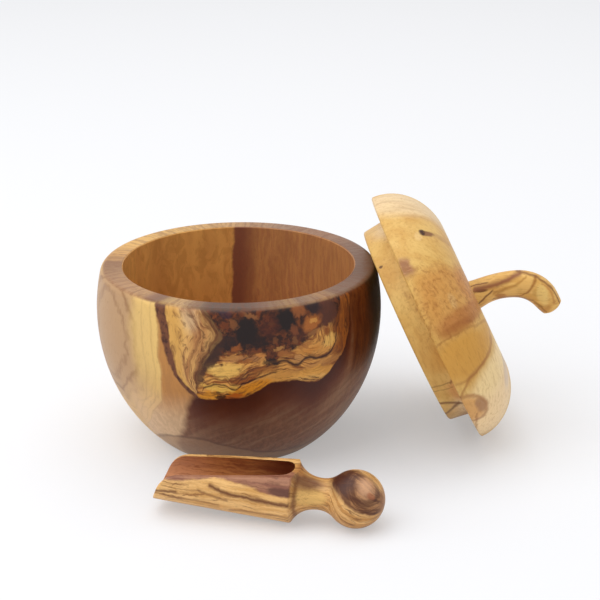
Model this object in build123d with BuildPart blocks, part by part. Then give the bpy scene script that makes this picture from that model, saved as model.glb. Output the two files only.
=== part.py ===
"""Apple-shaped salt bowl with a loose lid and a small scoop, turned and carved from olive wood.

Millimetres, +Z up. The origin is the centre of the bowl's foot, on the table. The lid is off: it
stands on its edge and leans on the bowl's rim, and the scoop lies in front.
"""

import os
from math import acos, atan2, cos, degrees, hypot, pi, radians, sin, sqrt, tan

from build123d import *

# ---------------------------------------------------------------- driving dimensions
# Bowl: the outside follows one ellipse of revolution, cut flat at the foot and at the rim.
bowl_height = 74.5
belly_radius = 58.1  # widest circle of the outside
belly_level = 55.5  # height of that circle above the table
belly_rise = 66.5  # upright half-axis of the ellipse
rim_width = 8.6  # flat ring between the mouth and the outside
rim_outer_round = 2.4  # from the rim's sharp corner to where its rounding ends
rim_inner_chamfer = 0.4
foot_chamfer = 0.7
floor_thickness = 10.0
cove_radius = 30.0  # between the straight wall and the flat floor of the cavity

# Lid: a domed cap with a tapered spigot below it and a dimple for the stalk on top.
lid_setback = 1.4  # the cap's edge stands this far inside the bowl's rim when closed
dome_height = 21.8  # seat to crest
crest_radius = 30.0
dimple_depth = 8.0
spigot_length = 9.0
spigot_clearance = 3.4  # between the spigot's root and the mouth
spigot_taper = 7.0  # degrees
spigot_chamfer = 0.5
lid_edge_chamfer = 0.5
dish_radius = 27.0  # shallow relief turned in the underside
dish_depth = 2.0

# How the lid leans: its axis points outwards and up.
lean_angle = 25.1  # of the axis above the table, degrees
lean_yaw = 3.6  # of the axis from +X, degrees
lean_gap = 0.3  # between the spigot's face and the rim

# Stalk: a bent, tapering twig with a round tenon glued into the lid.
tenon_radius = 5.0
tenon_length = 9.0
glue_gap = 0.1  # round the tenon
glue_well = 1.0  # below the tenon
stalk_root_radius = 8.6  # flare that sits in the dimple
stalk_neck_radius = 5.7
stalk_tip_radius = 4.4
stalk_tip_chamfer = 0.8
stalk_flare = 11.0  # height of the flare above its seat
stalk_slow_radius = 34.0  # centre line's first bend
stalk_slow_turn = 26.0  # degrees
stalk_fast_radius = 15.0  # centre line's second bend
stalk_fast_turn = 52.0  # degrees
stalk_end = 6.0  # straight tip
seat_margin = 0.8  # flat of the dimple outside the stalk's root

# Scoop: turned as one piece with its ball knob, sliced open along the top and hollowed.
knob_radius = 11.0
neck_radius = 6.0
neck_reach = 13.3  # knob centre to the thinnest place
shoulder_reach = 23.5  # knob centre to the edge where the body starts
shoulder_radius = 12.3
body_taper = 2.0  # degrees a side, slimmer towards the lip
lip_reach = 77.2  # knob centre to the tip of the lip
lip_slant = 20.0  # degrees off square
lip_corner = 10.0  # rounded corner between the rim and the lip
rim_rise = 9.1  # height of the sliced rim above the axis, at the shoulder
rim_fall = 6.9  # degrees by which the rim drops towards the lip
scoop_wall = 1.7
hollow_back = 22.4  # knob centre to the blind end of the hollow
hollow_round = 5.8  # from the hollow's sharp corner to where its rounding ends
scoop_edge_chamfer = 0.3

# Where the scoop lies: place of its knob, and the way its lip points.
knob_x = 45.7
knob_y = -86.0
scoop_heading = 168.5  # degrees from +X

# ---------------------------------------------------------------- sizes that follow


def outside_radius(level):
    """Radius of the bowl's outer ellipse at a height above the table."""
    return belly_radius * sqrt(1 - ((level - belly_level) / belly_rise) ** 2)


foot_radius = outside_radius(0)
rim_radius = outside_radius(bowl_height)
mouth_radius = rim_radius - rim_width

lid_radius = rim_radius - lid_setback
spigot_root_radius = mouth_radius - spigot_clearance
spigot_face_radius = spigot_root_radius - spigot_length * tan(radians(spigot_taper))
stalk_seat_radius = stalk_root_radius + seat_margin
stalk_seat_level = dome_height - dimple_depth

# Rounded corner of the rim, as a curve with its two ends and the sharp corner as control points.
round_low = Vector(outside_radius(bowl_height - rim_outer_round), bowl_height - rim_outer_round)
round_slope = (belly_radius / belly_rise) ** 2 * (round_low.Y - belly_level) / round_low.X
round_corner = round_low + Vector(-round_slope, 1) * rim_outer_round
round_high = round_corner - Vector(rim_outer_round, 0)

# The chamfered edge of the cap stands on the table.
lean = radians(lean_angle)
yaw = radians(lean_yaw)
seat_centre_z = lid_radius * cos(lean) - lid_edge_chamfer * sin(lean)

# The spigot's face stops lean_gap short of the rounded corner, which it would touch where the
# corner's curve reaches furthest along the lid's axis.
lean_dir = Vector(cos(lean), sin(lean))
low_back = (round_corner - round_low).dot(lean_dir)
high_back = (round_corner - round_high).dot(lean_dir)
rim_reach = round_corner.dot(lean_dir) - low_back * high_back / (low_back + high_back)
face_reach = rim_reach + lean_gap
seat_centre_out = (face_reach + spigot_length - seat_centre_z * sin(lean)) / cos(lean)

lid_axis_dir = Vector(cos(lean) * cos(yaw), cos(lean) * sin(yaw), sin(lean))
lid_droop_dir = Vector(sin(lean) * cos(yaw), sin(lean) * sin(yaw), -cos(lean))
seat_centre = Vector(seat_centre_out * cos(yaw), seat_centre_out * sin(yaw), seat_centre_z)
lid_seat = Plane(origin=seat_centre, x_dir=lid_droop_dir, z_dir=lid_axis_dir)
lid_section = Plane(origin=seat_centre, x_dir=lid_droop_dir, z_dir=-lid_seat.y_dir)
lid_axis = Axis(origin=seat_centre, direction=lid_axis_dir)
stalk_seat = lid_seat.offset(stalk_seat_level)

# The scoop rests on its knob and on the edge of its shoulder.
scoop_tilt = acos(knob_radius / hypot(shoulder_radius, shoulder_reach)) - atan2(
    shoulder_reach, shoulder_radius
)
heading = radians(scoop_heading)
scoop_dir = Vector(
    cos(scoop_tilt) * cos(heading), cos(scoop_tilt) * sin(heading), sin(scoop_tilt)
)
scoop_side_dir = Vector(sin(heading), -cos(heading), 0)
knob_centre = Vector(knob_x, knob_y, knob_radius)
scoop_section = Plane(origin=knob_centre, x_dir=scoop_dir, z_dir=scoop_side_dir)
scoop_axis = Axis(origin=knob_centre, direction=scoop_dir)


def body_radius(reach):
    """Radius of the scoop's tapering body at a distance from the knob's centre."""
    return shoulder_radius - (reach - shoulder_reach) * tan(radians(body_taper))


def hollow_radius(reach):
    """Radius of the scoop's hollow at a distance from the knob's centre."""
    return body_radius(reach) - scoop_wall


def rim_level(reach):
    """Height of the scoop's sliced rim above its axis."""
    return rim_rise - (reach - shoulder_reach) * tan(radians(rim_fall))


# ---------------------------------------------------------------- bowl
with BuildPart() as bowl:
    with BuildSketch(Plane.XZ):
        with BuildLine():
            start = degrees(atan2(-belly_level / belly_rise, foot_radius / belly_radius))
            stop = degrees(
                atan2((round_low.Y - belly_level) / belly_rise, round_low.X / belly_radius)
            )
            EllipticalCenterArc(
                (0, belly_level), belly_radius, belly_rise, start, arc_size=stop - start
            )
            Bezier(round_low, round_corner, round_high)
            Polyline(
                round_high,
                (mouth_radius, bowl_height),
                (mouth_radius, floor_thickness + cove_radius),
            )
            CenterArc(
                (mouth_radius - cove_radius, floor_thickness + cove_radius), cove_radius, 0, -90
            )
            Polyline(
                (mouth_radius - cove_radius, floor_thickness),
                (0, floor_thickness),
                (0, 0),
                (foot_radius, 0),
            )
        make_face()
    revolve(axis=Axis.Z)
    rim_edges = bowl.edges().filter_by(GeomType.CIRCLE).group_by(Axis.Z)[-1]
    chamfer(rim_edges.sort_by(SortBy.LENGTH)[0], length=rim_inner_chamfer)
    chamfer(bowl.edges().group_by(Axis.Z)[0], length=foot_chamfer)

# ---------------------------------------------------------------- lid
with BuildPart() as lid:
    with BuildSketch(lid_section):
        with BuildLine():
            dish_start = (0, dish_depth - spigot_length)
            ThreePointArc(
                dish_start,
                (dish_radius / 2, 0.75 * dish_depth - spigot_length),
                (dish_radius, -spigot_length),
            )
            Polyline(
                (dish_radius, -spigot_length),
                (spigot_face_radius, -spigot_length),
                (spigot_root_radius, 0),
                (lid_radius, 0),
            )
            EllipticalCenterArc(
                (crest_radius, 0), lid_radius - crest_radius, dome_height, 0, arc_size=90
            )
            Spline(
                (crest_radius, dome_height),
                (stalk_seat_radius, stalk_seat_level),
                tangents=[(-1, 0), (-1, 0)],
            )
            Polyline((stalk_seat_radius, stalk_seat_level), (0, stalk_seat_level), dish_start)
        make_face()
    revolve(axis=lid_axis)
    chamfer(lid.edges().sort_by(SortBy.LENGTH)[-1], length=lid_edge_chamfer)
    face_edges = lid.edges().filter_by(GeomType.CIRCLE).group_by(lid_axis)[0]
    chamfer(face_edges.sort_by(SortBy.LENGTH)[-1], length=spigot_chamfer)
    with Locations(stalk_seat.location):
        Hole(tenon_radius + glue_gap, depth=tenon_length + glue_well)

# ---------------------------------------------------------------- stalk
# The bend lies in the plane that holds the lid's axis and its steepest way down.
bend_start = (0, stalk_seat_level + stalk_flare)

with BuildPart() as stalk:
    with BuildLine(lid_section) as centre_line:
        Line((0, stalk_seat_level), bend_start)
        slow_bend = JernArc(bend_start, (0, 1), stalk_slow_radius, -stalk_slow_turn)
        fast_bend = JernArc(slow_bend @ 1, slow_bend % 1, stalk_fast_radius, -stalk_fast_turn)
        Line(fast_bend @ 1, fast_bend @ 1 + (fast_bend % 1) * stalk_end)
    path = centre_line.wires()[0]
    flare_share = stalk_flare / path.length
    stations = [
        (0.0, stalk_root_radius),
        (0.35 * flare_share, (stalk_root_radius + stalk_neck_radius) / 2),
        (flare_share, stalk_neck_radius),
        (0.6, stalk_neck_radius),
        (1.0, stalk_tip_radius),
    ]
    for share, radius in stations:
        with BuildSketch(Plane(origin=path @ share, z_dir=path % share)):
            Circle(radius)
    sweep(path=path, multisection=True)
    tip_plane = Plane(origin=path @ 1, z_dir=path % 1)
    tip_edge = stalk.edges().sort_by_distance(tip_plane.origin)[0]
    chamfer(tip_edge, length=stalk_tip_chamfer)
    with BuildSketch(stalk_seat):
        Circle(tenon_radius)
    extrude(amount=-tenon_length)

# ---------------------------------------------------------------- scoop
# The neck's two curves are tangent to the neck's narrowest line; each middle control point lies
# where that line meets the tangent at the curve's other end.
neck = (neck_reach, neck_radius)
knob_fillet = (neck_reach**2 / (knob_radius - neck_radius) - knob_radius - neck_radius) / 2
knob_angle = atan2(neck_radius + knob_fillet, neck_reach)
knob_end = (knob_radius * cos(knob_angle), knob_radius * sin(knob_angle))
knob_tangent = knob_fillet * tan(pi / 4 - knob_angle / 2)
flare_run = shoulder_reach - neck_reach
flare_rise = shoulder_radius - neck_radius
flare_tangent = (flare_run**2 + flare_rise**2) / (2 * flare_run)
blank_end = lip_reach + lip_corner
lip_lean = tan(radians(lip_slant))
rim_lean = tan(radians(rim_fall))
lip_radius = body_radius(lip_reach)
rim_meet = (lip_reach - lip_lean * (rim_level(0) + lip_radius)) / (1 - lip_lean * rim_lean)
far_out = 3 * shoulder_radius

with BuildPart() as scoop:
    with BuildSketch(scoop_section):
        with BuildLine():
            CenterArc((0, 0), knob_radius, degrees(knob_angle), 180 - degrees(knob_angle))
            Bezier(knob_end, (neck_reach - knob_tangent, neck_radius), neck)
            Bezier(neck, (neck_reach + flare_tangent, neck_radius), (shoulder_reach, shoulder_radius))
            Polyline(
                (shoulder_reach, shoulder_radius),
                (blank_end, body_radius(blank_end)),
                (blank_end, 0),
                (-knob_radius, 0),
            )
        make_face()
    revolve(axis=scoop_axis)

    # Sliced off above the rim and beyond the lip.
    with BuildSketch(scoop_section) as waste:
        with BuildLine():
            Polyline(
                (neck_reach, rim_level(neck_reach)),
                (rim_meet, rim_level(rim_meet)),
                (lip_reach + lip_lean * far_out, -lip_radius - far_out),
                (blank_end + far_out, -far_out),
                (blank_end + far_out, far_out),
                (neck_reach, far_out),
                close=True,
            )
        make_face()
        fillet(
            waste.vertices().sort_by_distance((rim_meet, rim_level(rim_meet)))[0],
            radius=lip_corner,
        )
    extrude(amount=far_out, both=True, mode=Mode.SUBTRACT)

    # Hollow with a blind, round-cornered end.
    with BuildSketch(scoop_section):
        with BuildLine():
            hollow_corner = Vector(hollow_back, hollow_radius(hollow_back))
            corner_low = hollow_corner - Vector(0, hollow_round)
            corner_out = (hollow_back + hollow_round, hollow_radius(hollow_back + hollow_round))
            Bezier(corner_low, hollow_corner, corner_out)
            Polyline(
                corner_out,
                (blank_end, hollow_radius(blank_end)),
                (blank_end, 0),
                (hollow_back, 0),
                corner_low,
            )
        make_face()
    revolve(axis=scoop_axis, mode=Mode.SUBTRACT)

    # Eased edges of the body's outside: along the rim, round the lip and at the shoulder.
    body_face = scoop.faces().filter_by(GeomType.CONE).sort_by(SortBy.AREA)[-1]
    chamfer(body_face.edges(), length=scoop_edge_chamfer)

# ---------------------------------------------------------------- one STEP file for each piece
os.makedirs("parts", exist_ok=True)

bowl.part.label = "bowl"
export_step(bowl.part, "parts/bowl.step")

lid.part.label = "lid"
export_step(lid.part, "parts/lid.step")

stalk.part.label = "stalk"
export_step(stalk.part, "parts/stalk.step")

scoop.part.label = "scoop"
export_step(scoop.part, "parts/scoop.step")
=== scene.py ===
from math import cos, radians, sin, tan
from types import SimpleNamespace

import bpy
from mathutils import Matrix, Vector

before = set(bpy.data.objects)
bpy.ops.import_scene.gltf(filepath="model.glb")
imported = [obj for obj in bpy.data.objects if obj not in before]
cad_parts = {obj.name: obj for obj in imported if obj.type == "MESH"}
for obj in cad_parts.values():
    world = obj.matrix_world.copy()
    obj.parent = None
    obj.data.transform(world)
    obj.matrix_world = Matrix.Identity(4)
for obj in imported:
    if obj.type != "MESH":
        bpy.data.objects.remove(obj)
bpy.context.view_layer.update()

MM = 0.001
NOISE_SPAN = 0.25  # how far a noise's colour strays from its middle, about

# How the lid leans and the scoop lies, in mm and degrees, as in the model.
LID_SEAT_CENTRE = (77.34, 4.87, 48.94)
LID_LEAN = 25.1  # of its axis above the table
LID_YAW = 3.6  # of its axis from +X
LID_RADIUS = 54.3
LID_RISE = 21.8
KNOB_CENTRE = (45.7, -86.0, 11.0)
SCOOP_HEADING = 168.5
SCOOP_TILT = 3.13
MOUTH_RADIUS = 47.1
RIM_LEVEL = 74.5

# ---------------------------------------------------------------- nodes


def add(tree, kind, *inputs, **settings):
    """Adds one shader node and returns its first output.

    Settings are its properties; points draw its curve and stops its colour ramp. Inputs fill its
    sockets in the order in which it shows them, each linked from an output or set to a value.
    """
    points = settings.pop("points", ())
    stops = settings.pop("stops", ())
    node = tree.nodes.new("ShaderNode" + kind)
    for name, value in settings.items():
        setattr(node, name, value)
    if points:
        curve = node.mapping.curves[0]
        curve.points[0].location = points[0]
        curve.points[1].location = points[-1]
        for x, y in points[1:-1]:
            curve.points.new(x, y)
        node.mapping.update()
    if stops:
        elements = node.color_ramp.elements
        elements.remove(elements[1])
        elements[0].position, elements[0].color = stops[0]
        for place, shade in stops[1:]:
            elements.new(place).color = shade
    shown = [socket for socket in node.inputs if socket.enabled]
    for socket, value in zip(shown, inputs):
        if isinstance(value, bpy.types.NodeSocket):
            tree.links.new(value, socket)
        elif value is not None:
            socket.default_value = value
    return next((socket for socket in node.outputs if socket.enabled), None)


def colour(code):
    """Linear RGBA of an sRGB hex value."""
    parts = [int(code[i : i + 2], 16) / 255 for i in (0, 2, 4)]
    linear = [c / 12.92 if c <= 0.04045 else ((c + 0.055) / 1.055) ** 2.4 for c in parts]
    return (*linear, 1.0)


# ---------------------------------------------------------------- drawing on wood


def own_space(tree, origin=(0, 0, 0), turn=Matrix.Identity(3)):
    """A piece's own coordinates in mm, which stay with the piece when it moves."""
    place = add(tree, "TexCoord").node.outputs["Object"]
    origin = [c * MM for c in origin]
    return add(tree, "Mapping", place, origin, turn.to_euler(), (MM, MM, MM), vector_type="TEXTURE")


def round_chart(tree, right, front, level):
    """Chart of a turned piece: angle in degrees from its front to its right, radius and level."""
    turn = add(tree, "Math", right, front, operation="ARCTAN2")
    angle = add(tree, "Math", turn, operation="DEGREES")
    flat = add(tree, "CombineXYZ", right, front, 0.0)
    radius = add(tree, "VectorMath", flat, operation="LENGTH")
    paper = add(tree, "CombineXYZ", angle, level, 0.0)
    return SimpleNamespace(angle=angle, radius=radius, level=level, paper=paper)


def drawn_line(tree, along, points):
    """A line drawn on a chart: how far across it lies, at each place along."""
    places = [point[0] for point in points]
    levels = [point[1] for point in points]
    low, high = min(levels), max(levels)
    span = places[-1] - places[0]
    shares = [((x - places[0]) / span, (y - low) / (high - low)) for x, y in points]
    share = add(tree, "MapRange", along, places[0], places[-1])
    drawn = add(tree, "FloatCurve", 1.0, share, points=shares)
    return add(tree, "MapRange", drawn, 0.0, 1.0, low, high)


def past(tree, value, line, softness=0.6):
    """1 where value is beyond the line, 0 before it, with a soft edge."""
    offset = add(tree, "Math", value, line, operation="SUBTRACT")
    return add(tree, "MapRange", offset, -softness, softness, interpolation_type="SMOOTHSTEP")


def both(tree, *masks):
    """1 only where all the masks are 1."""
    product = masks[0]
    for mask in masks[1:]:
        product = add(tree, "Math", product, mask, operation="MULTIPLY")
    return product


def vein(tree, value, line, half_width):
    """1 where value is on the line, fading to 0 at half the vein's width."""
    offset = add(tree, "Math", value, line, operation="SUBTRACT")
    distance = add(tree, "Math", offset, operation="ABSOLUTE")
    return add(tree, "MapRange", distance, half_width, 0.0, interpolation_type="SMOOTHSTEP")


def drawn_vein(tree, along, across, points, half_width):
    """A single line of the figure: 1 along it, 0 beside it and past its ends."""
    line = vein(tree, across, drawn_line(tree, along, points), half_width)
    started = past(tree, along, points[0][0])
    not_ended = past(tree, points[-1][0], along)
    return both(tree, line, started, not_ended)


def oval_share(tree, paper, centre, size, lean=0.0):
    """How far out a place on a chart lies from an oval's middle: 1 on the oval itself."""
    turn = (0.0, 0.0, radians(lean))
    place = add(tree, "Mapping", paper, (*centre, 0.0), turn, (*size, 1.0), vector_type="TEXTURE")
    return add(tree, "VectorMath", place, operation="LENGTH")


def patch(tree, paper, centre, size, lean=0.0, softness=0.35):
    """1 inside an oval of the given half sizes on a chart, 0 outside, with a soft edge."""
    share = oval_share(tree, paper, centre, size, lean)
    return past(tree, 1.0, share, softness)


def stain(tree, ground, shade, *masks):
    """Lays a colour over the ground where all the masks are 1."""
    return add(tree, "Mix", both(tree, *masks), ground, shade, data_type="RGBA")


def streaks(tree, space, size, low, high, detail=3.0, warp=0.0):
    """Drawn-out patches of the wood, of the given size along each axis, from 0 to 1."""
    rate = [1 / s for s in size]
    stretched = add(tree, "VectorMath", space, rate, operation="MULTIPLY")
    noise = add(tree, "TexNoise", stretched, 1.0, detail, 0.55, 2.0, warp)
    return add(tree, "MapRange", noise, low, high, interpolation_type="SMOOTHSTEP")


def grown(tree, space, *swings):
    """A space bent as grain bends; each swing is its reach in mm and its patch size in mm."""
    for reach, size in swings:
        noise = add(tree, "TexNoise", space, 1 / size, 2.0, 0.5).node.outputs["Color"]
        shift = add(tree, "VectorMath", noise, (0.5, 0.5, 0.5), operation="SUBTRACT")
        shift = add(tree, "VectorMath", shift, reach / NOISE_SPAN, operation="SCALE")
        space = add(tree, "VectorMath", space, shift, operation="ADD")
    return space


def oiled(tree, space, paint, grain):
    """Satin oil over open pores: wide soft highlights, and a fine tooth along the grain."""
    pores = streaks(tree, space, [0.35 + 2.0 * part for part in grain], 0.60, 0.72, 2.0)
    filled = add(tree, "Math", pores, 0.16, operation="MULTIPLY")
    paint = stain(tree, paint, colour("3A1D0C"), filled)
    roughness = add(tree, "MapRange", pores, 0.0, 1.0, 0.42, 0.60)
    ripple = streaks(tree, space, [1.5 + 8.0 * part for part in grain], 0.2, 0.8)
    height = add(tree, "Math", ripple, pores, operation="SUBTRACT")
    bump = add(tree, "Bump", 0.3, 0.0001, None, height)
    surface = add(tree, "BsdfPrincipled", paint, None, roughness, None, None, bump)
    surface.node.inputs["IOR"].default_value = 1.5
    surface.node.inputs["Specular IOR Level"].default_value = 0.2
    surface.node.inputs["Coat Weight"].default_value = 0.08
    surface.node.inputs["Coat Roughness"].default_value = 0.25
    add(tree, "OutputMaterial", surface)


def new_material(name):
    material = bpy.data.materials.new(name)
    material.use_nodes = True
    material.node_tree.nodes.clear()
    return material


def finish_node(node, material):
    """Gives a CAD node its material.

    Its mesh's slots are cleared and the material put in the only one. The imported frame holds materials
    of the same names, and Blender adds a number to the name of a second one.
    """
    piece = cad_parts[node]
    piece.data.materials.clear()
    piece.data.materials.append(material)


# ---------------------------------------------------------------- bowl

HONEY = colour("C79D64")
PALE_YELLOW = colour("DFBA70")
PALE_TAN = colour("D4B088")
GREY_TAN = colour("AE8964")
TAN_ORANGE = colour("B47A3E")
RING_BROWN = colour("855A36")
HEARTWOOD = colour("5E2A0E")
HEARTWOOD_RED = colour("481806")
HEARTWOOD_BLACK = colour("190B07")
HEARTWOOD_PALE = colour("9C7757")
FIGURE_BROWN = colour("6B3A1E")
FIGURE_DARK = colour("34180F")

# Lines of the figure on the bowl's front, as (angle, height) or, where steep, (height, angle).
FIGURE_EDGE = (
    (-20, 42), (-17, 39), (-14, 37.8), (-9, 38.4), (-4, 39), (0, 38.8), (5, 40.4), (10, 42.5),
    (14, 44.6), (19, 45.4), (24, 45), (27, 43.4), (30, 41.8), (33, 41.2), (35, 41.8), (38, 44.2),
    (42, 48), (45, 50.6), (47, 53.5), (49, 58.5), (50.5, 64), (52, 77),
)
SILL = (*FIGURE_EDGE[:15], (38, 43), (60, 47))  # the same lower edge, carried on to the right
BURL_RIGHT = 51.5
STRIPE_LEFT = ((36, -14), (40, -19), (45, -22.4), (50, -25), (57, -27.6), (66, -30), (77, -34))
STRIPE_RIGHT = (
    (36, -12.5), (40, -16.8), (45, -20.4), (50, -22.8), (57, -24.8), (66, -26.2), (77, -28.2),
)
SEAM = (
    (38, -15.8), (44, -15), (50, -13.6), (54, -12), (58, -9.6), (62, -7.2), (65.5, -5), (68.5, -7),
    (72, -9.4), (77, -12),
)
DARK_EDGE = (
    (-16, 46), (-12, 53), (-7, 56.6), (0, 58), (6, 56.4), (11, 56.8), (14, 52.6), (18, 55),
    (22, 57.5), (26, 60.5), (31, 62.5), (36, 65), (41, 66), (46, 75),
)
LOBE_LINE = (
    (12, 51), (15, 52), (19, 53.4), (24, 51.6), (28, 53.8), (33, 52), (37, 52.3), (40, 54.4),
    (42.3, 58), (43.6, 63), (45, 76),
)
RIPPLE = ((-14, 41), (-8, 45), (-4, 45), (-1, 43), (3, 45), (10, 47), (16, 49))
ROOT_LINE = (
    (-62, 5), (-45, 10.5), (-35, 14), (-25, 15.8), (-17, 16), (-8, 14), (0, 11.5), (8, 9.5), (22, 7),
)
HEART_LEFT = ((6, -36), (14, -31), (20, -25.5), (26, -22.5), (32, -20.5), (37, -18), (44, -10))
TAN_FROM = ((8, -62), (20, -44), (27, -38), (34, -32), (50, -30), (77, -32))

# Ovals of the figure: centre (angle, height), half sizes, lean, colour and strength.
GOLD_PATCHES = (
    ((-4, 50.8), (7.4, 3.0), 0, "E2B25A", 0.95),
    ((-8, 52), (3, 1.4), 20, "E8BC66", 0.6),
    ((-5, 43.4), (9, 1.7), -4, "DFB050", 0.9),
    ((-11, 39.8), (4.5, 1.8), 12, "D18C2A", 1.0),
    ((6, 43.0), (10, 2.1), 17, "CC821E", 1.0),
    ((-1, 39.8), (4, 1.5), 8, "A8500F", 0.9),
    ((-6, 39.6), (2.4, 1.0), 0, "2E1208", 0.9),
    ((19, 47.8), (9, 2.4), 3, "C98E42", 0.9),
    ((31, 44.8), (8.5, 2.6), -8, "E2AA58", 0.9),
    ((34, 49.3), (13, 1.6), 4, "B0783C", 0.7),
    ((34, 57.4), (9, 3.6), 5, "CE9044", 1.0),
    ((39, 59), (3.6, 2.2), 20, "DEAE5A", 0.8),
    ((24.5, 54), (3.4, 1.5), -8, "BA844A", 0.9),
    ((3, 55), (9, 1.2), 0, "A87444", 0.7),
)
DARK_PATCHES = (
    ((5, 66), (5.2, 6.6), 0, "1F1413", 1.0),
    ((20, 70), (4.2, 4.6), 0, "1F1413", 1.0),
    ((-3, 62.5), (4.2, 2.6), 10, "2A1A18", 0.9),
    ((10, 61.5), (3.6, 2.6), 0, "221413", 0.9),
    ((33, 73), (3.0, 2.2), 0, "281A1C", 0.9),
    ((39, 69), (4.4, 6.4), 10, "542E22", 0.9),
    ((27, 64), (6, 2), 0, "4A2418", 0.7),
    ((-3, 73), (2.4, 1.6), 0, "2E1A2A", 0.7),
    ((14, 68), (3.4, 4.4), 0, "4A2016", 0.6),
)
SEAM_PATCHES = (
    ((-9, 56), (6.5, 2.4), 58, "3A231B", 0.9),
    ((-13.5, 48.6), (5, 1.4), 72, "40251B", 0.85),
    ((14, 53), (3, 1.4), 0, "241614", 0.8),
)
FLECK_PATCHES = (
    ((33, 46.4), (9, 1.9), -6, "D6963E", 0.7),
    ((30, 56.5), (4, 1.4), 0, "C07A30", 0.6),
    ((4, 54.2), (3, 0.9), 0, "8E4E1C", 0.7),
    ((12, 50), (4, 1.6), 10, "8E5220", 0.6),
    ((31, 67.4), (4.2, 2.9), 22, "A8622A", 0.9),
    ((32, 68.6), (1.8, 1.0), 0, "D89A4A", 0.6),
    ((10.6, 56), (1.7, 1.1), 0, "BE7C3C", 0.85),
    ((17.2, 59), (1.9, 1.0), 25, "B27C40", 0.75),
    ((23.4, 62.2), (1.0, 1.2), 0, "8E5A30", 0.5),
    ((15.6, 62.4), (1.0, 1.2), 0, "7A4826", 0.5),
    ((19.5, 56.8), (3, 1.4), 10, "A0622E", 0.8),
    ((1, 60), (2, 1.5), 0, "985422", 0.7),
    ((-1.5, 56), (4.2, 0.9), 0, "B67E40", 0.75),
    ((7, 72.4), (3, 1.1), -20, "8E5A32", 0.7),
    ((0, 69.6), (1.4, 2.4), 24, "84502A", 0.6),
    ((26, 72.6), (3.0, 2.0), 0, "8E522A", 0.8),
    ((34, 63.8), (6, 0.8), 6, "A06A38", 0.6),
    ((27.5, 59.4), (2.6, 1.5), 10, "A0642E", 0.75),
    ((23, 66), (1.6, 2.2), 0, "7C4426", 0.7),
)

# Colours of the rim from behind on the left, round the front, to behind on the right.
RIM_SHADES = (
    (-180, "AE8458"), (-150, "CB9E5A"), (-120, "D6A65C"), (-100, "C28F50"), (-94, "AE7F4C"),
    (-92, "83593C"), (-80, "8E6848"), (-60, "A67C56"), (-42, "AC8258"), (-38, "80584A"),
    (-34, "64403A"), (-30, "AA8654"), (-22, "BA9666"), (-16, "7E6046"), (-10, "564032"),
    (4, "523A2C"), (12, "72503A"), (24, "987244"), (29, "7E6048"), (40, "A07648"), (48, "765842"),
    (75, "6A4E3C"), (110, "7A5E4A"), (140, "966E50"), (160, "96755A"), (180, "AE8458"),
)

# The block: how its growth layers face, how close they lie, and where its heartwood starts.
LAYER_FACING = radians(-62)
LAYER_RATE = 1.7  # radians of the ring pattern in each mm
HEART_BORDER = -16.7  # mm from the bowl's axis
HEART_BORDER_SLANT = 0.252  # mm to the right for each mm back

FRONT_LEFT = -52.0  # angles between which the bowl's figure is drawn
FRONT_RIGHT = 92.0

BELLY_RADIUS = 58.1
BELLY_LEVEL = 55.5
BELLY_RISE = 66.5
OUTER_SKIN = 0.93  # of the belly's oval: what lies further in is the hollow


def bowl_block(tree, bent):
    """Sapwood and heartwood as they lie in the whole block, which the back of the bowl shows."""
    # Growth layers are upright planes that face the front left, so that the round side cuts them
    # in ovals there.
    facing = (sin(LAYER_FACING), -cos(LAYER_FACING), 0.0)
    layer = add(tree, "VectorMath", bent, facing, operation="DOT_PRODUCT")
    ring = add(tree, "Math", layer, LAYER_RATE, operation="MULTIPLY")
    ring = add(tree, "Math", ring, operation="SINE")
    ring = add(tree, "MapRange", ring, 0.4, 1.0, interpolation_type="SMOOTHSTEP")
    flecks = streaks(tree, bent, (1.5, 1.5, 16.0), 0.35, 0.65)
    clouds = streaks(tree, bent, (9.0, 9.0, 24.0), 0.3, 0.7)
    sap = add(tree, "Mix", clouds, HONEY, colour("D6AC68"), data_type="RGBA")
    sap = stain(tree, sap, GREY_TAN, past(tree, layer, 52.0, 3.0), 0.9)
    sap = stain(tree, sap, RING_BROWN, ring, flecks, 0.3)
    for place, half_width, strength in ((54.4, 0.7, 0.6), (50.6, 0.5, 0.25), (56.4, 0.5, 0.3)):
        line = vein(tree, layer, place, half_width)
        sap = stain(tree, sap, RING_BROWN, line, strength)
    heart = add(tree, "Mix", clouds, HEARTWOOD, FIGURE_BROWN, data_type="RGBA")
    heart = stain(tree, heart, HEARTWOOD_BLACK, flecks, 0.45)
    heart = stain(tree, heart, HEARTWOOD_BLACK, ring, 0.3)
    parts = add(tree, "SeparateXYZ", bent).node.outputs
    border = add(tree, "Math", parts["Y"], HEART_BORDER_SLANT, HEART_BORDER, operation="MULTIPLY_ADD")
    depth = add(tree, "Math", parts["X"], border, operation="SUBTRACT")
    return SimpleNamespace(
        space=bent,
        sap=sap,
        heart=heart,
        flecks=flecks,
        clouds=clouds,
        depth=depth,
        in_heart=past(tree, depth, 0.0, 0.8),
    )


def bowl_inside(tree, block):
    """The cut inside: warm brown, with a dark band where the heartwood starts."""
    left = add(tree, "Mix", block.clouds, colour("DEA55A"), colour("CC9350"), data_type="RGBA")
    swirl = streaks(tree, block.space, (5.0, 5.0, 11.0), 0.45, 0.6, 3.0, 1.2)
    left = stain(tree, left, colour("A8743A"), swirl, 0.35)
    right = add(tree, "Mix", block.flecks, colour("A8724A"), colour("BA8450"), data_type="RGBA")
    right = stain(tree, right, colour("96643E"), block.clouds, 0.5)
    band = add(tree, "MapRange", block.depth, 14.0, 3.0, interpolation_type="SMOOTHSTEP")
    right = stain(tree, right, colour("7E4C38"), band)
    return add(tree, "Mix", block.in_heart, left, right, data_type="RGBA")


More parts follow.
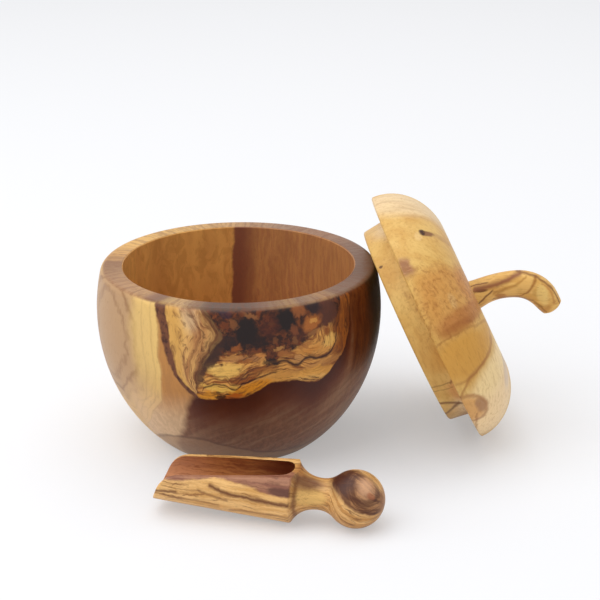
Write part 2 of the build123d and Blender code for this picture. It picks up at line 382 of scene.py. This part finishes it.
def burl_gold(tree, chart, sketch, patchy):
    """The burl's gold part, whose veins keep an even distance from its lower and right edges."""
    angle, level = chart.angle, chart.level
    rise = add(tree, "Math", level, drawn_line(tree, angle, SILL), operation="SUBTRACT")
    inset = add(tree, "Math", BURL_RIGHT, angle, operation="SUBTRACT")
    depth = add(tree, "Math", rise, inset, 7.0, operation="SMOOTH_MIN")
    run = add(tree, "Math", angle, level, operation="ADD")
    flow = add(tree, "CombineXYZ", depth, run, 0.0)
    broad = streaks(tree, flow, (3.0, 14.0, 1.0), 0.4, 0.6, 5.0, 1.0)
    veins = streaks(tree, flow, (1.5, 9.0, 1.0), 0.48, 0.66, 5.0, 1.2)
    lines = streaks(tree, flow, (1.6, 11.0, 1.0), 0.53, 0.63, 5.0, 1.6)
    hairs = streaks(tree, flow, (0.6, 6.0, 1.0), 0.5, 0.8)
    gold = add(tree, "Mix", broad, colour("8C4E1E"), colour("D8994A"), data_type="RGBA")
    upright = past(tree, angle, 41.0, 3.0)
    gold = stain(tree, gold, colour("8E4C16"), upright, 0.85)
    gold = stain(tree, gold, colour("5E2810"), upright, broad, 0.85)
    for centre, size, lean, shade, strength in GOLD_PATCHES:
        gold = stain(tree, gold, colour(shade), patch(tree, sketch, centre, size, lean), strength)
    gold = stain(tree, gold, FIGURE_BROWN, hairs, 0.4)
    gold = stain(tree, gold, FIGURE_BROWN, veins, patchy, 0.85)
    gold = stain(tree, gold, FIGURE_DARK, lines, patchy, 0.8)
    gold = stain(tree, gold, FIGURE_DARK, drawn_vein(tree, angle, level, LOBE_LINE, 1.4), 0.95)
    for lift, strength in ((0.0, 0.85), (2.2, 0.6), (3.6, 0.45)):
        ripple = [(place, height + lift) for place, height in RIPPLE]
        line = drawn_vein(tree, angle, level, ripple, 0.6)
        gold = stain(tree, gold, FIGURE_DARK, line, strength)
    return gold


def burl_dark(tree, sketch, mottle, specks):
    """The burl's nearly black heart, with blotches and specks of orange."""
    dark = add(tree, "Mix", mottle, colour("2C1610"), colour("6E3618"), data_type="RGBA")
    dark = stain(tree, dark, colour("9A5C2C"), specks, 0.6)
    for centre, size, lean, shade, strength in DARK_PATCHES:
        oval = patch(tree, sketch, centre, size, lean)
        dark = stain(tree, dark, colour(shade), oval, strength)
    return dark


def burl_left(tree, angle, level, sketch, stripe_right, seam):
    """The burl's pale left side, whose veins draw together downwards from stripe to seam."""
    offset = add(tree, "Math", angle, stripe_right, operation="SUBTRACT")
    width = add(tree, "Math", seam, stripe_right, operation="SUBTRACT")
    share = add(tree, "Math", offset, width, operation="DIVIDE")
    fan = add(tree, "CombineXYZ", share, level, 0.0)
    bands = streaks(tree, fan, (0.22, 20.0, 1.0), 0.36, 0.64, 4.0, 0.3)
    threads = streaks(tree, fan, (0.12, 7.0, 1.0), 0.48, 0.68, 5.0, 1.0)
    lines = streaks(tree, fan, (0.16, 6.0, 1.0), 0.52, 0.64, 5.0, 1.6)
    inner = past(tree, share, 0.3, 0.08)
    left = add(tree, "Mix", bands, colour("A67040"), colour("D4A25E"), data_type="RGBA")
    cream = patch(tree, sketch, (-18, 70), (3.4, 4.2), 0, 0.8)
    left = stain(tree, left, colour("E2C89C"), cream, 0.45)
    left = stain(tree, left, colour("D2A050"), past(tree, 0.28, share, 0.1), 0.8)
    left = stain(tree, left, FIGURE_BROWN, threads, 0.75)
    left = stain(tree, left, FIGURE_DARK, inner, lines, 0.55)
    for place, strength in ((0.6, 0.6), (0.78, 0.35), (0.9, 0.5)):
        left = stain(tree, left, FIGURE_BROWN, vein(tree, share, place, 0.05), strength)
    return stain(tree, left, FIGURE_DARK, past(tree, share, 0.86, 0.14), 0.75)


def bowl_burl(tree, chart, sketch, mottle, stripe_right):
    """The burl: gold wood with flowing dark veins round a nearly black heart."""
    angle, level = chart.angle, chart.level
    patchy = streaks(tree, sketch, (9.0, 6.0, 1.0), 0.3, 0.6)
    specks = streaks(tree, sketch, (2.0, 2.2, 1.0), 0.52, 0.8, 5.0, 0.8)
    gold = burl_gold(tree, chart, sketch, patchy)
    dark = burl_dark(tree, sketch, mottle, specks)
    height = add(tree, "SeparateXYZ", sketch).node.outputs["Y"]
    in_dark = past(tree, height, drawn_line(tree, angle, DARK_EDGE), 1.1)
    right = add(tree, "Mix", in_dark, gold, dark, data_type="RGBA")
    for centre, size, lean, shade, strength in (*SEAM_PATCHES, *FLECK_PATCHES):
        oval = patch(tree, sketch, centre, size, lean)
        right = stain(tree, right, colour(shade), oval, strength)
    right = stain(tree, right, colour("2A1510"), specks, in_dark, 0.35)
    seam = drawn_line(tree, level, SEAM)
    left = burl_left(tree, angle, level, sketch, stripe_right, seam)
    return add(tree, "Mix", past(tree, angle, seam, 0.5), left, right, data_type="RGBA")


def bowl_low(tree, chart, block, below):
    """Heartwood below and right of the burl: red brown beside it, then paler, with slanting grain; the
    far right, which faces the lid, is darkened with painted shade.
    """
    low = add(tree, "Mix", block.flecks, colour("7E5034"), colour("6C4228"), data_type="RGBA")
    slant = (0.0, 0.0, radians(24))
    grain = add(tree, "Mapping", chart.paper, None, slant, None, vector_type="TEXTURE")
    bands = streaks(tree, grain, (40.0, 3.4, 1.0), 0.42, 0.66, 3.0, 0.4)
    hairs = streaks(tree, grain, (14.0, 0.9, 1.0), 0.55, 0.75, 3.0, 0.4)
    low = stain(tree, low, HEARTWOOD_PALE, bands, 0.45)
    low = stain(tree, low, HEARTWOOD_PALE, hairs, 0.18)
    near = add(tree, "MapRange", below, 23.0, 5.0, interpolation_type="SMOOTHSTEP")
    low = stain(tree, low, colour("5A240A"), near, 0.95)
    low = stain(tree, low, colour("3E1204"), add(tree, "MapRange", below, 11.0, 1.0), 0.95)
    side = add(tree, "Mix", block.flecks, colour("66300F"), HEARTWOOD_RED, data_type="RGBA")
    # Nearly black far right: partly dark heartwood, partly painted shade where the bowl faces the lid.
    side = stain(tree, side, HEARTWOOD_BLACK, past(tree, chart.angle, 66.0, 6.0), 0.9)
    beside = both(tree, past(tree, chart.angle, 52.0, 1.5), past(tree, chart.level, 40.0, 10.0))
    return stain(tree, low, side, beside)


def bowl_front(tree, chart, sketch, block):
    """The outside's front: sapwood, tan wood, the brown stripe, the burl and what lies below it."""
    angle, level = chart.angle, chart.level
    mottle = streaks(tree, sketch, (2.2, 2.6, 1.0), 0.38, 0.7, 5.0, 0.4)
    stripe_left = drawn_line(tree, level, STRIPE_LEFT)
    stripe_right = drawn_line(tree, level, STRIPE_RIGHT)
    below = add(tree, "Math", drawn_line(tree, angle, FIGURE_EDGE), level, operation="SUBTRACT")

    upper = past(tree, level, 40.0, 12.0)
    ground = stain(tree, block.sap, PALE_YELLOW, past(tree, angle, -44.0, 4.0), upper, 0.7)
    ground = stain(tree, ground, PALE_TAN, past(tree, 34.0, level, 9.0), 0.6)
    gap = add(tree, "Math", angle, drawn_line(tree, level, TAN_FROM), operation="SUBTRACT")
    for place, strength in ((0.0, 0.3), (-3.1, 0.16), (-7.6, 0.16)):
        ground = stain(tree, ground, RING_BROWN, vein(tree, gap, place, 0.7), strength)
    tan_wood = add(tree, "Mix", past(tree, level, 32.0, 9.0), PALE_TAN, TAN_ORANGE, data_type="RGBA")
    tan_wood = stain(tree, tan_wood, RING_BROWN, block.flecks, 0.25)
    ground = stain(tree, ground, tan_wood, past(tree, gap, 0.0, 1.0), 0.95)

    low = bowl_low(tree, chart, block, below)
    in_low = past(tree, angle, drawn_line(tree, level, HEART_LEFT), 2.4)
    ground = add(tree, "Mix", in_low, ground, low, data_type="RGBA")
    root = add(tree, "Math", level, drawn_line(tree, angle, ROOT_LINE), operation="SUBTRACT")
    ground = stain(tree, ground, colour("96704E"), past(tree, 0.0, root, 0.9), 0.6)
    ground = stain(tree, ground, HEARTWOOD_RED, vein(tree, root, 0.0, 1.4), 0.5)

    burl = bowl_burl(tree, chart, sketch, mottle, stripe_right)
    in_burl = both(
        tree,
        past(tree, 0.0, below, 0.4),
        past(tree, angle, stripe_right, 0.3),
        past(tree, BURL_RIGHT + 0.5, angle, 1.0),
    )
    ground = add(tree, "Mix", in_burl, ground, burl, data_type="RGBA")
    in_stripe = both(
        tree,
        past(tree, angle, stripe_left, 0.5),
        past(tree, stripe_right, angle, 0.4),
        past(tree, level, 37.5, 0.5),
    )
    stripe = add(tree, "Mix", mottle, colour("70432A"), colour("44241A"), data_type="RGBA")
    return add(tree, "Mix", in_stripe, ground, stripe, data_type="RGBA")


def bowl_material():
    """Olive wood, turned and oiled: pale sapwood, dark heartwood and a burl that shows in front."""
    material = new_material("bowl_olive_wood")
    tree = material.node_tree
    space = own_space(tree)
    bent = grown(tree, space, (1.4, 20.0), (0.35, 3.0))
    ragged = grown(tree, bent, (0.8, 1.8))
    charts = []
    for place in (space, bent, ragged):
        parts = add(tree, "SeparateXYZ", place).node.outputs
        front = add(tree, "Math", parts["Y"], -1.0, operation="MULTIPLY")
        charts.append(round_chart(tree, parts["X"], front, parts["Z"]))
    true, chart, sketch = charts

    block = bowl_block(tree, bent)
    paint = add(tree, "Mix", block.in_heart, block.sap, block.heart, data_type="RGBA")
    drawn = bowl_front(tree, chart, sketch.paper, block)
    right_of = past(tree, true.angle, FRONT_LEFT, 5.0)
    in_front = both(tree, right_of, past(tree, FRONT_RIGHT, true.angle, 10.0))
    paint = add(tree, "Mix", in_front, paint, drawn, data_type="RGBA")

    stops = [((turn + 180) / 360, colour(shade)) for turn, shade in RIM_SHADES]
    rim = add(tree, "ValToRGB", add(tree, "MapRange", chart.angle, -180.0, 180.0), stops=stops)
    rim_flecks = streaks(tree, chart.paper, (1.8, 1.0, 1.0), 0.42, 0.62, 4.0)
    rim = stain(tree, rim, FIGURE_BROWN, rim_flecks, 0.5)
    paint = stain(tree, paint, rim, past(tree, true.level, RIM_LEVEL - 0.5, 0.4), 0.9)

    section = add(tree, "CombineXYZ", true.radius, true.level, 0.0)
    belly = oval_share(tree, section, (0.0, BELLY_LEVEL), (BELLY_RADIUS, BELLY_RISE))
    inside = both(
        tree,
        past(tree, OUTER_SKIN, belly, 0.01),
        past(tree, MOUTH_RADIUS + 0.25, true.radius, 0.15),
        past(tree, true.level, 5.0, 1.0),
    )
    paint = stain(tree, paint, bowl_inside(tree, block), inside)
    oiled(tree, space, paint, (0, 0, 1))
    return material


# ---------------------------------------------------------------- lid and stalk


def lid_turn():
    """The lid's own axes: X steepest way down, Z out along its axis."""
    lean, yaw = radians(LID_LEAN), radians(LID_YAW)
    axis = Vector((cos(lean) * cos(yaw), cos(lean) * sin(yaw), sin(lean)))
    droop = Vector((sin(lean) * cos(yaw), sin(lean) * sin(yaw), -cos(lean)))
    return Matrix((droop, axis.cross(droop), axis)).transposed()


# Ovals on the lid: centre (angle from its near side, slope on the dome), half sizes, lean,
# colour and strength.
# Most are the wood's figure; one is a painted highlight and one is lightened by a painted reflection.
LID_PATCHES_AND_PAINTED_LIGHT = (
    ((-26, 34), (15, 32), 0, "C68640", 0.6),
    ((-30, 56), (13, 10), 0, "BC763A", 0.5),
    ((-15, 42), (5, 34), 0, "AC6832", 0.7),
    ((-12.5, 28), (2.6, 18), 0, "94521F", 0.5),
    # Painted highlight: a faint pale spot where the light's soft highlight falls on the dome.
    ((-24, 34), (4.0, 3.4), 0, "DCC48E", 0.22),
    ((1, 24), (10.5, 34), 0, "CC9440", 0.9),
    ((22, 42), (9, 36), 0, "F0D298", 0.95),
    ((42, 22), (16, 36), 0, "F2D2A0", 0.9),
    ((26, 5), (8.5, 15), -10, "D29A58", 0.9),
    ((27, 16), (4.5, 5), 0, "986C4C", 0.7),
    # Purple-grey figure near the edge, lightened by a painted reflection of the white surroundings.
    ((36, 58), (8, 13), 20, "C4B4AC", 0.5),
    ((-59, 30), (2.2, 3), 0, "E8C688", 0.5),
    ((-60.5, 52), (2.4, 10), 0, "AE8050", 0.45),
    ((-61, 38), (1.5, 6), 0, "6E3E28", 0.85),
    ((-61.4, 34), (1.6, 2.6), 0, "35170F", 1.0),
    ((-88, 25), (14, 40), 0, "E6CCA2", 0.75),
)
# Darker outlines round some of them: centre, half sizes, lean, thickness as a share and strength.
LID_OUTLINES = (
    ((0.2, 20), (10.6, 40), 0, 0.09, 0.4),
    ((26, 5), (8.8, 16), -10, 0.22, 0.6),
)
OVAL_RIGHT = ((-2, 18), (6, 14), (12, 11.6), (20, 10.6), (34, 10.4), (46, 9.6), (56, 7))
HEART_TRAIL = ((30, 10), (36, 4), (46, 0))
# Lines on the spigot, as (level under the seat, angle), with half width and strength.
SPIGOT_LINES = (
    (((-10, 30.5), (-5, 33), (0, 37.5)), 2.2, 0.85),
    (((-10, 45), (-5, 39), (-1, 35.5)), 2.8, 0.85),
    (((-10, 15.5), (0, 17.5)), 0.9, 0.5),
    (((-10, 19.5), (0, 21)), 0.7, 0.4),
)


def lid_material():
    """Olive wood, turned and oiled: pale gold sapwood with a few brown figures and pin knots, with a
    painted highlight and a painted reflection on the dome.
    """
    material = new_material("lid_olive_wood")
    tree = material.node_tree
    space = own_space(tree, LID_SEAT_CENTRE, lid_turn())
    bent = grown(tree, space, (1.1, 16.0), (0.3, 2.5))
    parts = add(tree, "SeparateXYZ", bent).node.outputs
    front = add(tree, "Math", parts["Y"], -1.0, operation="MULTIPLY")
    chart = round_chart(tree, parts["X"], front, parts["Z"])
    angle, level = chart.angle, chart.level
    rise = add(tree, "Math", level, LID_RADIUS / LID_RISE, operation="MULTIPLY")
    slope = add(tree, "Math", rise, chart.radius, operation="ARCTAN2")
    slope = add(tree, "Math", slope, operation="DEGREES")
    dome = add(tree, "CombineXYZ", angle, slope, 0.0)

    clouds = streaks(tree, bent, (24.0, 8.0, 8.0), 0.3, 0.7)
    flecks = streaks(tree, bent, (7.0, 1.1, 1.1), 0.45, 0.75, 4.0)
    paint = add(tree, "Mix", clouds, colour("DCB468"), colour("CC9C50"), data_type="RGBA")
    for centre, size, lean, shade, strength in LID_PATCHES_AND_PAINTED_LIGHT:
        paint = stain(tree, paint, colour(shade), patch(tree, dome, centre, size, lean), strength)
    brown = colour("9A6030")
    for centre, size, lean, thickness, strength in LID_OUTLINES:
        outline = vein(tree, oval_share(tree, dome, centre, size, lean), 1.0, thickness)
        paint = stain(tree, paint, brown, outline, past(tree, level, 0.0, 0.3), strength)
    paint = stain(tree, paint, brown, drawn_vein(tree, slope, angle, OVAL_RIGHT, 1.9), 0.6)
    paint = stain(tree, paint, brown, drawn_vein(tree, angle, slope, HEART_TRAIL, 2.4), 0.6)

    # Soft brown mark beside the seat, crossed by paler lines.
    mark = both(
        tree,
        past(tree, angle, -48.6, 2.0),
        past(tree, -40.4, angle, 2.0),
        past(tree, slope, 1.6, 2.4),
        past(tree, 13.0, slope, 3.0),
    )
    paint = stain(tree, paint, colour("8E5A40"), mark, 0.85)
    paler = streaks(tree, dome, (1.0, 9.0, 1.0), 0.5, 0.6)
    paint = stain(tree, paint, colour("C08C62"), mark, paler, 0.6)

    for line, half_width, strength in SPIGOT_LINES:
        dark = drawn_vein(tree, level, angle, line, half_width)
        paint = stain(tree, paint, colour("6E4420"), dark, strength)
    below_seat = past(tree, -0.2, level, 0.3)
    low_end = patch(tree, chart.paper, (60, -5), (18, 9), 0, 0.8)
    on_side = past(tree, chart.radius, 43.0)
    paint = stain(tree, paint, colour("9C6E42"), low_end, below_seat, on_side, 0.6)
    pin = patch(tree, chart.paper, (-58, -6.5), (1.0, 0.8))
    paint = stain(tree, paint, colour("5A3A20"), pin, 0.9)

    paint = stain(tree, paint, colour("A8702F"), flecks, 0.35)
    freckles = streaks(tree, bent, (2.2, 1.6, 1.6), 0.42, 0.75, 5.0, 0.6)
    orange_part = both(tree, past(tree, angle, -44.0, 8.0), past(tree, -8.0, angle, 3.0))
    on_cap = past(tree, level, -4.0, 8.0)
    paint = stain(tree, paint, colour("8E5222"), freckles, orange_part, on_cap, 0.6)
    end_grain = streaks(tree, dome, (2.4, 50.0, 1.0), 0.5, 0.7)
    end_part = patch(tree, dome, (-96, 18), (24, 44), 0, 0.6)
    paint = stain(tree, paint, colour("A67C50"), end_grain, end_part, 0.4)
    oiled(tree, space, paint, (1, 0, 0))
    return material


# Lines on the stalk as seen from its near side: (mm from the bowl's axis, height), half width,
# colour and strength.
STALK_LINES = (
    (((96, 62.4), (100, 63.6), (104, 64.6), (108, 66), (112, 68), (116, 70.4)), 2.5, "8C5636", 0.95),
    (((104, 61), (109, 62.8), (114, 65), (118, 68.6)), 1.3, "AE7834", 0.7),
    (((94.5, 63.6), (98, 65), (102, 66)), 0.6, "70421E", 0.9),
    (((97.8, 55.4), (100, 58.2), (102.4, 60.8), (104, 62.4)), 0.8, "6E4222", 0.9),
    (((114.5, 59.6), (117.5, 61), (119.8, 63.2), (121, 66.4), (121.8, 69)), 1.3, "9C6428", 0.85),
    (((114, 71), (119, 69.6), (123, 67.6), (127, 64.4), (130, 60.8), (132.5, 56)), 1.2, "835428", 0.85),
    (((124, 65.6), (127, 63), (128.8, 60), (129.6, 56.4)), 0.9, "B4743A", 0.6),
    # Brown line along the stalk's lower edge: partly a streak of the wood, partly painted shade.
    (((104, 58.2), (108, 59.4), (112, 59.6), (118, 58.6), (122, 56.8), (127, 52.6)), 0.8, "8A5A30", 0.6),
)
STALK_PATCHES = (
    ((99.2, 62.2), (2.6, 0.8), 6, "5A3014", 0.9),
    ((107.5, 60.2), (2.4, 0.8), 0, "A8652C", 0.7),
    ((122, 61.4), (1.6, 1.6), 0, "BE9048", 0.6),
    ((126, 54.6), (2.6, 1.8), 20, "BA823C", 0.7),
    ((124.6, 60.5), (2.2, 5), 10, "E6C274", 0.7),
    ((118, 65), (3.4, 3), 0, "E2B46A", 0.6),
)


def stalk_material():
    """Olive branch wood: golden, with broad brown streaks that cross it aslant, and a brown line along
    its lower edge that is partly painted shade.
    """
    material = new_material("stalk_olive_wood")
    tree = material.node_tree
    space = own_space(tree)
    bent = grown(tree, space, (0.4, 6.0), (0.15, 1.6))
    parts = add(tree, "SeparateXYZ", bent).node.outputs
    # The streaks run through the wood, back and downwards, so both of its sides show them.
    height = add(tree, "Math", parts["Y"], 0.37, parts["Z"], operation="MULTIPLY_ADD")
    across = parts["X"]
    paper = add(tree, "CombineXYZ", across, height, 0.0)
    broad = streaks(tree, bent, (12.0, 4.0, 3.0), 0.4, 0.6)
    fine = streaks(tree, bent, (7.0, 0.9, 0.9), 0.5, 0.72)
    paint = add(tree, "Mix", broad, colour("E2B466"), colour("D4A254"), data_type="RGBA")
    for centre, size, lean, shade, strength in STALK_PATCHES:
        paint = stain(tree, paint, colour(shade), patch(tree, paper, centre, size, lean), strength)
    for line, half_width, shade, strength in STALK_LINES:
        steep = abs(line[-1][1] - line[0][1]) > abs(line[-1][0] - line[0][0])
        if steep:
            points = sorted((z, x) for x, z in line)
            streak = drawn_vein(tree, height, across, points, half_width)
        else:
            streak = drawn_vein(tree, across, height, line, half_width)
        paint = stain(tree, paint, colour(shade), streak, strength)
    paint = stain(tree, paint, colour("8A5A28"), fine, 0.35)
    oiled(tree, space, paint, (1, 0, 0))
    return material


# ---------------------------------------------------------------- scoop


def scoop_turn():
    """The scoop's own axes: X from the knob to the lip, Y to its near side, Z up."""
    heading, tilt = radians(SCOOP_HEADING), radians(SCOOP_TILT)
    along = Vector((cos(tilt) * cos(heading), cos(tilt) * sin(heading), sin(tilt)))
    near = Vector((0, 0, 1)).cross(along).normalized()
    return Matrix((along, near, along.cross(near))).transposed()


# Lines on the scoop as (mm from the knob's centre towards the lip, angle from its top to the near
# side), each with its half width in degrees.
SCOOP_BORDER = (
    (22, 76), (30, 77), (36, 70), (42, 64), (50, 60), (55, 64), (60, 70), (66, 76), (72, 79), (82, 84),
)
SCOOP_VEINS = (
    (((22, 92), (30, 92), (36, 91), (42, 90), (47, 87), (50, 82), (54, 76)), 8.0, 0.95),
    (((46, 103), (50, 100), (53, 96), (56, 92), (58, 88)), 6.0, 0.6),
    (((57, 90), (62, 91), (67, 92), (72, 90)), 2.5, 0.45),
    (((66, 100), (69, 102), (72, 104), (77, 109)), 6.0, 0.85),
    (((65.6, 82), (67.4, 84), (68, 92)), 3.0, 0.5),
    (((22, 122), (33, 121), (40, 126), (46, 130)), 7.0, 0.5),
    (((50, 119), (56, 118), (62, 116), (72, 112)), 6.0, 0.5),
    (((50, 104), (54, 110), (60, 112)), 3.0, 0.35),
)
# Radius of the hollow's wall and level of the sliced rim, as if measured at the knob's centre.
HOLLOW_RADIUS = 11.7
HOLLOW_TAPER = tan(radians(2))
SLICE_LEVEL = 11.8
SLICE_FALL = tan(radians(6.9))
BLIND_END = 21.2  # mm from the knob's centre, where the rounded end's radius would be 0
BLIND_STEEPNESS = 5.0
NECK_END = 23.2  # mm from the knob's centre
KNOB_EYE_AND_HIGHLIGHT = ((-4.2, 36), (3.0, 20))  # pale oval on the knob, a pale figure with a painted highlight on it: centre and half sizes
KNOB_SWEEP = ((-12, 104), (-6, 90), (0, 75), (3, 66), (6, 46), (9, 10))


def scoop_material():
    """Olive wood, turned and carved: gold with dark lengthwise veins, red brown where it is hollow."""
    material = new_material("scoop_olive_wood")
    tree = material.node_tree
    space = own_space(tree, KNOB_CENTRE, scoop_turn())
    bent = grown(tree, space, (0.5, 10.0), (0.25, 1.8))
    straight = add(tree, "SeparateXYZ", space).node.outputs
    true = round_chart(tree, straight["Y"], straight["Z"], straight["X"])
    parts = add(tree, "SeparateXYZ", bent).node.outputs
    chart = round_chart(tree, parts["Y"], parts["Z"], parts["X"])
    angle, along = chart.angle, chart.level
    sheet = add(tree, "CombineXYZ", along, angle, 0.0)
    broad = streaks(tree, bent, (26.0, 2.6, 2.6), 0.38, 0.62, 4.0)
    fine = streaks(tree, bent, (12.0, 0.8, 0.8), 0.48, 0.74, 4.0)
    veins = streaks(tree, bent, (18.0, 2.2, 2.2), 0.54, 0.68, 5.0, 0.6)
    gold = add(tree, "Mix", broad, colour("EABA78"), colour("CE9A58"), data_type="RGBA")
    gold = stain(tree, gold, colour("8A5A2C"), fine, 0.45)
    gold = stain(tree, gold, colour("7A4A26"), veins, 0.75)
    brown = add(tree, "Mix", broad, colour("A8765A"), colour("865644"), data_type="RGBA")
    brown = stain(tree, brown, colour("5A3626"), fine, 0.6)
    border = drawn_line(tree, along, SCOOP_BORDER)
    on_top = both(tree, past(tree, border, angle, 3.0), past(tree, angle, 14.0, 5.0))
    paint = add(tree, "Mix", on_top, gold, brown, data_type="RGBA")
    paint = stain(tree, paint, colour("5C3A30"), patch(tree, sheet, (26.5, 69), (5, 8)), 0.85)
    for line, half_width, strength in SCOOP_VEINS:
        dark = drawn_vein(tree, along, angle, line, half_width)
        paint = stain(tree, paint, colour("6A3E22"), dark, strength)

    # Knob and neck: veins sweep round them, and rings lie round a pale oval on the knob, which is partly
    # a painted highlight.
    off = add(tree, "Math", angle, drawn_line(tree, along, KNOB_SWEEP), operation="SUBTRACT")
    sweep = add(tree, "CombineXYZ", off, along, 0.0)
    bands = streaks(tree, sweep, (15.0, 22.0, 1.0), 0.4, 0.6, 4.0, 0.6)
    lines = streaks(tree, sweep, (9.0, 9.0, 1.0), 0.52, 0.68, 5.0, 1.2)
    upper = both(
        tree,
        past(tree, 8.0, off, 5.0),
        past(tree, off, -78.0, 12.0),
        past(tree, 9.5, along, 2.0),
    )
    knob = add(tree, "Mix", bands, colour("E0B070"), colour("C08A4C"), data_type="RGBA")
    knob = stain(tree, knob, colour("8A5636"), upper, 0.75)
    knob = stain(tree, knob, colour("55301F"), upper, bands, 0.8)
    knob = stain(tree, knob, colour("502C1C"), lines, 0.6)
    eye = oval_share(tree, sheet, *KNOB_EYE_AND_HIGHLIGHT)
    round_eye = add(tree, "CombineXYZ", eye, along, 0.0)
    rings = streaks(tree, round_eye, (0.5, 24.0, 1.0), 0.46, 0.58, 4.0, 0.5)
    rings = both(tree, rings, upper, past(tree, eye, 1.1, 0.3))
    knob = stain(tree, knob, colour("4A281C"), rings, 0.65)
    knob = stain(tree, knob, colour("43221A"), patch(tree, sheet, (5, 24), (4.2, 34), 0, 0.6), 0.85)
    # Pale oval on the knob's top: a pale figure with a painted highlight over it.
    knob = stain(tree, knob, colour("D6A680"), patch(tree, sheet, *KNOB_EYE_AND_HIGHLIGHT, 0, 0.7), 0.75)
    knob = stain(tree, knob, colour("A05A38"), patch(tree, sheet, (-6.5, 50), (1.4, 8)), 0.6)
    knob = stain(tree, knob, colour("E0B46A"), patch(tree, sheet, (16, 80), (5.5, 30)), 0.85)
    knob = stain(tree, knob, colour("5E301C"), patch(tree, sheet, (18, 30), (6, 28), 0, 0.6), 0.85)
    knob = stain(tree, knob, colour("6A3C20"), vein(tree, along, 21.8, 1.4), 0.75)
    knob = stain(tree, knob, colour("6A4020"), fine, 0.35)
    tip = both(tree, past(tree, 5.0, chart.radius, 2.0), past(tree, 0.0, along))
    knob = stain(tree, knob, colour("A4713F"), tip, 0.8)
    knob = stain(tree, knob, colour("7A4A28"), tip, broad, 0.6)
    paint = add(tree, "Mix", past(tree, NECK_END, along, 0.6), paint, knob, data_type="RGBA")
    paint = stain(tree, paint, colour("B88048"), patch(tree, sheet, (22.5, 4), (2.6, 18)), 0.8)

    stripes = streaks(tree, sheet, (30.0, 10.0, 1.0), 0.5, 0.57)
    paint = stain(tree, paint, colour("6A3A1C"), stripes, patch(tree, sheet, (26, 0), (6, 38)), 0.8)

    # Hollow: red brown, darkest at its blind end.
    red = add(tree, "Mix", broad, colour("C8864E"), colour("985A36"), data_type="RGBA")
    red = stain(tree, red, colour("C08460"), past(tree, along, 60.0, 9.0), 0.7)
    red = stain(tree, red, colour("7A3822"), past(tree, 36.0, along, 8.0), 0.85)
    red = stain(tree, red, colour("C88040"), patch(tree, sheet, (55, 0), (2.4, 60)), 0.5)
    red = stain(tree, red, colour("7A4022"), fine, 0.6)
    wall = add(tree, "Math", along, -HOLLOW_TAPER, HOLLOW_RADIUS, operation="MULTIPLY_ADD")
    from_end = -BLIND_STEEPNESS * BLIND_END
    blind_end = add(tree, "Math", along, BLIND_STEEPNESS, from_end, operation="MULTIPLY_ADD")
    wall = add(tree, "Math", wall, blind_end, operation="MINIMUM")
    slice_level = add(tree, "Math", along, -SLICE_FALL, SLICE_LEVEL, operation="MULTIPLY_ADD")
    hollow = both(
        tree,
        past(tree, wall, true.radius, 0.25),
        past(tree, slice_level, straight["Z"], 0.1),
    )
    paint = stain(tree, paint, red, hollow)
    oiled(tree, space, paint, (1, 0, 0))
    return material


finish_node("bowl", bowl_material())
finish_node("lid", lid_material())
finish_node("stalk", stalk_material())
finish_node("scoop", scoop_material())

# ---------------------------------------------------------------- floor, light and camera

FLOOR_SIZE = 6.0
FLOOR_WHITE = 0.38  # share of plain white that the camera sees in the table
WORLD_LIGHT = 0.68  # strength of the world as light on the object
WORLD_SEEN = 0.95  # and as the camera sees it
CAMERA_PLACE = (24.92 * MM, -653.97 * MM, 299.68 * MM)
CAMERA_DIP = 20.27  # degrees below level
CAMERA_LENS = 102.0
SENSOR_WIDTH = 36.0
OBJECT_MIDDLE = (24.92 * MM, 0.0, 40 * MM)


def white_to_camera(tree):
    """1 for what the camera sees, directly or in gloss or glass, and 0 for light on the object."""
    rays = add(tree, "LightPath").node.outputs
    direct = add(tree, "Math", rays["Is Camera Ray"], rays["Is Glossy Ray"], operation="MAXIMUM")
    return add(tree, "Math", direct, rays["Is Transmission Ray"], operation="MAXIMUM")


def floor_material():
    """Matt white table, which keeps the shadows and is nearly white to the camera."""
    material = new_material("white_table")
    tree = material.node_tree
    share = add(tree, "Math", white_to_camera(tree), FLOOR_WHITE, operation="MULTIPLY")
    matt = add(tree, "BsdfDiffuse", colour("ECEDF1"))
    white = add(tree, "Emission", colour("F8F8F8"), 1.0)
    surface = add(tree, "MixShader", share, matt, white)
    add(tree, "OutputMaterial", surface)
    return material


def make_floor():
    bpy.ops.mesh.primitive_plane_add(size=FLOOR_SIZE)
    floor = bpy.context.object
    floor.name = "table"
    floor.data.materials.append(floor_material())


def soft_light(name, place, size, power):
    """A square soft box that looks at the object."""
    lamp = bpy.data.lights.new(name, "AREA")
    lamp.size = size
    lamp.energy = power
    holder = bpy.data.objects.new(name, lamp)
    holder.location = place
    aim = Vector(OBJECT_MIDDLE) - Vector(place)
    holder.rotation_euler = aim.to_track_quat("-Z", "Y").to_euler()
    bpy.context.scene.collection.objects.link(holder)


def light_room():
    world = bpy.data.worlds.new("studio")
    bpy.context.scene.world = world
    world.use_nodes = True
    tree = world.node_tree
    tree.nodes.clear()
    strength = add(tree, "MapRange", white_to_camera(tree), 0.0, 1.0, WORLD_LIGHT, WORLD_SEEN)
    glow = add(tree, "Background", colour("FFFFFF"), strength)
    add(tree, "OutputWorld", glow)
    soft_light("key", (-0.7, -0.35, 1.2), 1.4, 11.5)
    soft_light("top", (0.1, 0.3, 1.4), 1.2, 5.5)


def make_camera():
    camera = bpy.data.objects.new("camera", bpy.data.cameras.new("camera"))
    camera.data.lens = CAMERA_LENS
    camera.data.sensor_width = SENSOR_WIDTH
    camera.location = CAMERA_PLACE
    camera.rotation_euler = (radians(90 - CAMERA_DIP), 0, 0)
    bpy.context.scene.collection.objects.link(camera)
    bpy.context.scene.camera = camera


make_floor()
light_room()
make_camera()
bpy.context.scene.view_settings.view_transform = "Standard"
